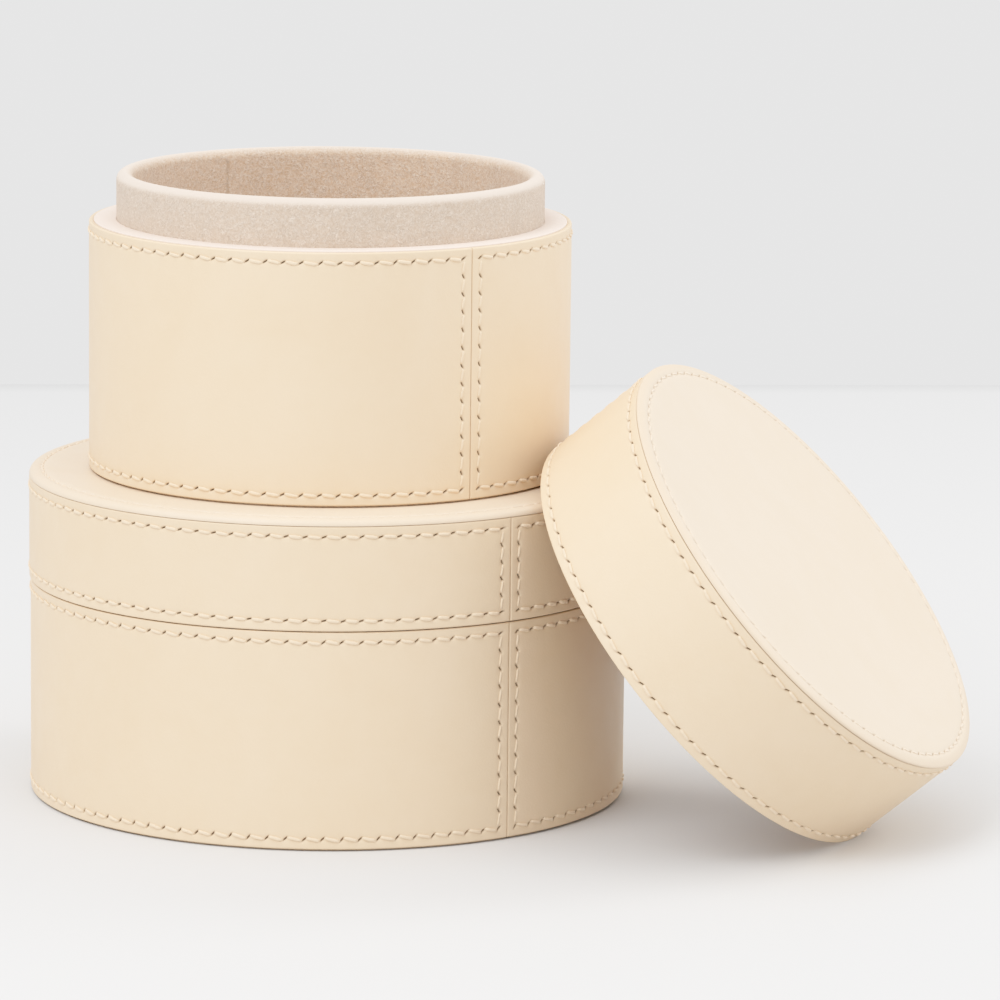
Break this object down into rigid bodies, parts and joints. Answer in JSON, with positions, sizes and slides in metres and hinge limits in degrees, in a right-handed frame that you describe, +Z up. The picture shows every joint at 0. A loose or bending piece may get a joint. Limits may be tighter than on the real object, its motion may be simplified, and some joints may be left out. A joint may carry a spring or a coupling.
{
  "type": "round hat box stack",
  "caption": "Round leather-covered hat boxes in a stack: the large one closed, the small one open on top of it, its lid leaning against them, rim on the floor.",
  "frame": {"origin": "centre of the large box's underside, on the surface it stands on", "axes": "+Z up, along the axis of both stacked boxes; -Y towards the front; +X towards the leaning lid"},
  "size_m": [0.3191, 0.2444, 0.2118],
  "materials": {
    "leather": "smooth vegetable-tanned hide with a low sheen, undyed cream",
    "shoulder_leather": "thin pale split leather, matt",
    "suede": "short-napped suede, matt",
    "thread": "waxed cream thread",
    "board": "raw pressed fibreboard"
  },
  "bodies": {
    "large_base": {"large_base_bottom_board": "board", "large_base_wall_board": "board", "large_base_neck_board": "board", "large_base_wall_leather": "leather", "large_base_underside_leather": "leather", "large_base_shoulder_leather": "shoulder_leather", "large_base_neck_suede": "suede", "large_base_floor_suede": "suede", "large_base_stitching": "thread"},
    "large_lid": {"large_lid_top_board": "board", "large_lid_wall_board": "board", "large_lid_band_leather": "leather", "large_lid_top_leather": "leather", "large_lid_wall_suede": "suede", "large_lid_top_suede": "suede", "large_lid_band_stitching": "thread", "large_lid_edge_stitching": "thread"},
    "small_base": {"small_base_bottom_board": "board", "small_base_wall_board": "board", "small_base_neck_board": "board", "small_base_wall_leather": "leather", "small_base_underside_leather": "leather", "small_base_shoulder_leather": "shoulder_leather", "small_base_neck_suede": "suede", "small_base_floor_suede": "suede", "small_base_stitching": "thread"},
    "small_lid": {"small_lid_top_board": "board", "small_lid_wall_board": "board", "small_lid_band_leather": "leather", "small_lid_top_leather": "leather", "small_lid_wall_suede": "suede", "small_lid_top_suede": "suede", "small_lid_band_stitching": "thread", "small_lid_edge_stitching": "thread"}
  },
  "joints": [
    {"name": "large_lid_lift", "type": "slide", "parent": "large_base", "child": "large_lid", "axis": [0, 0, 1], "range_m": [0, 0.12]},
    {"name": "small_base_lift", "type": "slide", "parent": "large_lid", "child": "small_base", "axis": [0, 0, 1], "range_m": [0, 0.12]},
    {"name": "small_lid_draw_off", "type": "slide", "parent": "large_lid", "child": "small_lid", "axis": [0.7189, -0.2546, 0.6468], "range_m": [0, 0.12]}
  ]
}
